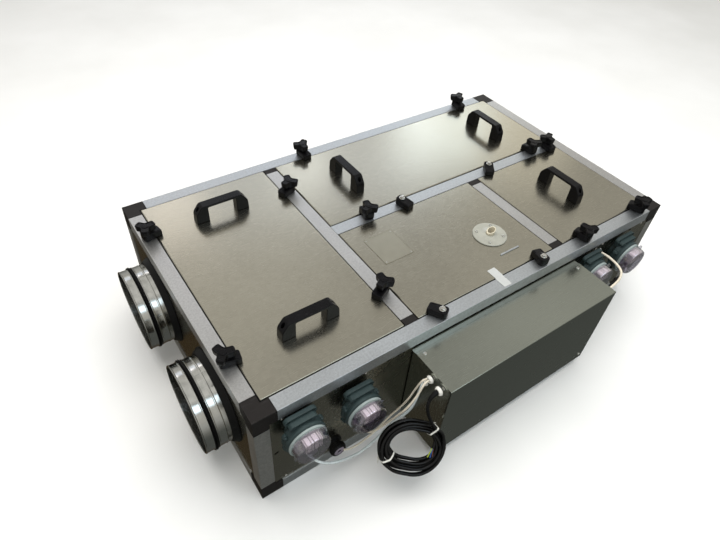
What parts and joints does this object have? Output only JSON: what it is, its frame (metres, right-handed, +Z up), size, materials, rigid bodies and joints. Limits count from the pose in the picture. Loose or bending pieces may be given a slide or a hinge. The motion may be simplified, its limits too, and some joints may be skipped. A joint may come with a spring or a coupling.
{
  "type": "heat recovery unit",
  "caption": "Flat suspended plate heat recovery unit in an aluminium frame, with clamped service panels, bridge handles, duct spigots, pressure switches and a side control box.",
  "frame": {"origin": "middle of the casing's underside, the side it rests on here", "axes": "+X along the casing's length, from the visible spigots to the hidden ones; +Y from the control-box side to the back; +Z up, towards the service panels"},
  "size_m": [1.365, 0.8746, 0.3598],
  "materials": {
    "aluminium_section": "mill finish extrusion",
    "galvanised_sheet": "hot-dip galvanised, spangled",
    "black_plastic": "moulded glass-filled nylon",
    "grey_plastic": "moulded, dark grey-green",
    "white_plastic": "moulded, off-white",
    "black_cable": "glossy cable sheath",
    "filter_medium": "pleated synthetic fleece",
    "exchanger_plate": "thin aluminium plates",
    "clear_cover": "clear polycarbonate",
    "steel_fastener": "zinc plated",
    "black_rubber": "EPDM lip seal and gasket",
    "label": "blank printed film"
  },
  "bodies": {
    "casing": {"frame": "aluminium_section", "long_divider": "aluminium_section", "cross_divider": "aluminium_section", "short_divider": "aluminium_section", "service_panel_left": "galvanised_sheet", "service_panel_back": "galvanised_sheet", "service_panel_centre": "galvanised_sheet", "service_panel_right": "galvanised_sheet", "front_panel": "galvanised_sheet", "back_panel": "galvanised_sheet", "bottom_panel": "galvanised_sheet", "left_panel": "galvanised_sheet", "right_panel": "galvanised_sheet", "control_box": "galvanised_sheet", "control_cover": "galvanised_sheet", "duct_spigot_front_left": "galvanised_sheet", "duct_spigot_back_left": "galvanised_sheet", "duct_spigot_front_right": "galvanised_sheet", "duct_spigot_back_right": "galvanised_sheet", "exhaust_fan_inlet_plate": "galvanised_sheet", "supply_fan_inlet_plate": "galvanised_sheet", "corner_connector_front_left": "black_plastic", "corner_connector_front_right": "black_plastic", "corner_connector_back_left": "black_plastic", "corner_connector_back_right": "black_plastic", "handle_left_back": "black_plastic", "handle_left_front": "black_plastic", "handle_back_left": "black_plastic", "handle_back_right": "black_plastic", "handle_right": "black_plastic", "pressure_switch_left_outer": "grey_plastic", "pressure_switch_left_inner": "grey_plastic", "pressure_switch_right_inner": "grey_plastic", "pressure_switch_right_outer": "grey_plastic", "drain_flange": "white_plastic", "power_gland": "white_plastic", "sensor_cable_left": "white_plastic", "sensor_cable_right": "white_plastic", "power_cord": "black_cable", "power_cord_coil": "black_cable", "outdoor_air_filter": "filter_medium", "extract_air_filter": "filter_medium", "heat_exchanger": "exchanger_plate"},
    "knob_clamp_left_front": {"knob_clamp_left_front": "black_plastic"},
    "knob_clamp_left_back": {"knob_clamp_left_back": "black_plastic"},
    "knob_clamp_divider_back": {"knob_clamp_divider_back": "black_plastic"},
    "knob_clamp_divider_front": {"knob_clamp_divider_front": "black_plastic"},
    "knob_clamp_back_left": {"knob_clamp_back_left": "black_plastic"},
    "knob_clamp_back_right": {"knob_clamp_back_right": "black_plastic"},
    "knob_clamp_cross_left": {"knob_clamp_cross_left": "black_plastic"},
    "knob_clamp_cross_right": {"knob_clamp_cross_right": "black_plastic"},
    "knob_clamp_cross_end": {"knob_clamp_cross_end": "black_plastic"},
    "knob_clamp_front_left": {"knob_clamp_front_left": "black_plastic"},
    "knob_clamp_front_right": {"knob_clamp_front_right": "black_plastic"},
    "screw_clamp_cross_left": {"screw_clamp_cross_left": "black_plastic"},
    "screw_clamp_cross_right": {"screw_clamp_cross_right": "black_plastic"},
    "screw_clamp_front_left": {"screw_clamp_front_left": "black_plastic"},
    "screw_clamp_front_right": {"screw_clamp_front_right": "black_plastic"},
    "exhaust_fan_impeller": {"exhaust_fan_impeller": "black_plastic"},
    "supply_fan_impeller": {"supply_fan_impeller": "black_plastic"}
  },
  "joints": [
    {"name": "knob_turn_left_front", "type": "hinge", "parent": "casing", "child": "knob_clamp_left_front", "pos_m": [-0.596, -0.207, 0.313], "axis": [0, 0, 1], "range_deg": [-90, 90]},
    {"name": "knob_turn_left_back", "type": "hinge", "parent": "casing", "child": "knob_clamp_left_back", "pos_m": [-0.596, 0.209, 0.313], "axis": [0, 0, 1], "range_deg": [-90, 90]},
    {"name": "knob_turn_divider_back", "type": "hinge", "parent": "casing", "child": "knob_clamp_divider_back", "pos_m": [-0.226, 0.202, 0.313], "axis": [0, 0, 1], "range_deg": [-90, 90]},
    {"name": "knob_turn_divider_front", "type": "hinge", "parent": "casing", "child": "knob_clamp_divider_front", "pos_m": [-0.226, -0.212, 0.313], "axis": [0, 0, 1], "range_deg": [-90, 90]},
    {"name": "knob_turn_back_left", "type": "hinge", "parent": "casing", "child": "knob_clamp_back_left", "pos_m": [-0.1125, 0.3335, 0.313], "axis": [0, 0, 1], "range_deg": [-90, 90]},
    {"name": "knob_turn_back_right", "type": "hinge", "parent": "casing", "child": "knob_clamp_back_right", "pos_m": [0.4725, 0.3335, 0.313], "axis": [0, 0, 1], "range_deg": [-90, 90]},
    {"name": "knob_turn_cross_left", "type": "hinge", "parent": "casing", "child": "knob_clamp_cross_left", "pos_m": [-0.1075, 0.012, 0.313], "axis": [0, 0, 1], "range_deg": [-90, 90]},
    {"name": "knob_turn_cross_right", "type": "hinge", "parent": "casing", "child": "knob_clamp_cross_right", "pos_m": [0.4875, 0.012, 0.313], "axis": [0, 0, 1], "range_deg": [-45, 90]},
    {"name": "knob_turn_cross_end", "type": "hinge", "parent": "casing", "child": "knob_clamp_cross_end", "pos_m": [0.5475, 0.012, 0.313], "axis": [0, 0, 1], "range_deg": [-45, 90]},
    {"name": "knob_turn_front_left", "type": "hinge", "parent": "casing", "child": "knob_clamp_front_left", "pos_m": [0.3125, -0.3335, 0.313], "axis": [0, 0, 1], "range_deg": [-90, 90]},
    {"name": "knob_turn_front_right", "type": "hinge", "parent": "casing", "child": "knob_clamp_front_right", "pos_m": [0.5355, -0.3335, 0.313], "axis": [0, 0, 1], "range_deg": [-90, 90]},
    {"name": "screw_turn_cross_left", "type": "hinge", "parent": "casing", "child": "screw_clamp_cross_left", "pos_m": [-0.0025, 0.012, 0.313], "axis": [0, 0, 1], "range_deg": [-90, 90]},
    {"name": "screw_turn_cross_right", "type": "hinge", "parent": "casing", "child": "screw_clamp_cross_right", "pos_m": [0.3075, 0.012, 0.313], "axis": [0, 0, 1], "range_deg": [-90, 90]},
    {"name": "screw_turn_front_left", "type": "hinge", "parent": "casing", "child": "screw_clamp_front_left", "pos_m": [-0.1605, -0.3335, 0.313], "axis": [0, 0, 1], "range_deg": [-90, 90]},
    {"name": "screw_turn_front_right", "type": "hinge", "parent": "casing", "child": "screw_clamp_front_right", "pos_m": [0.1525, -0.3335, 0.313], "axis": [0, 0, 1], "range_deg": [-90, 90]},
    {"name": "exhaust_fan_spin", "type": "hinge", "parent": "casing", "child": "exhaust_fan_impeller", "pos_m": [-0.4225, -0.168, 0.16], "axis": [1, 0, 0], "continuous": true},
    {"name": "supply_fan_spin", "type": "hinge", "parent": "casing", "child": "supply_fan_impeller", "pos_m": [0.4225, 0.146, 0.16], "axis": [1, 0, 0], "continuous": true}
  ]
}
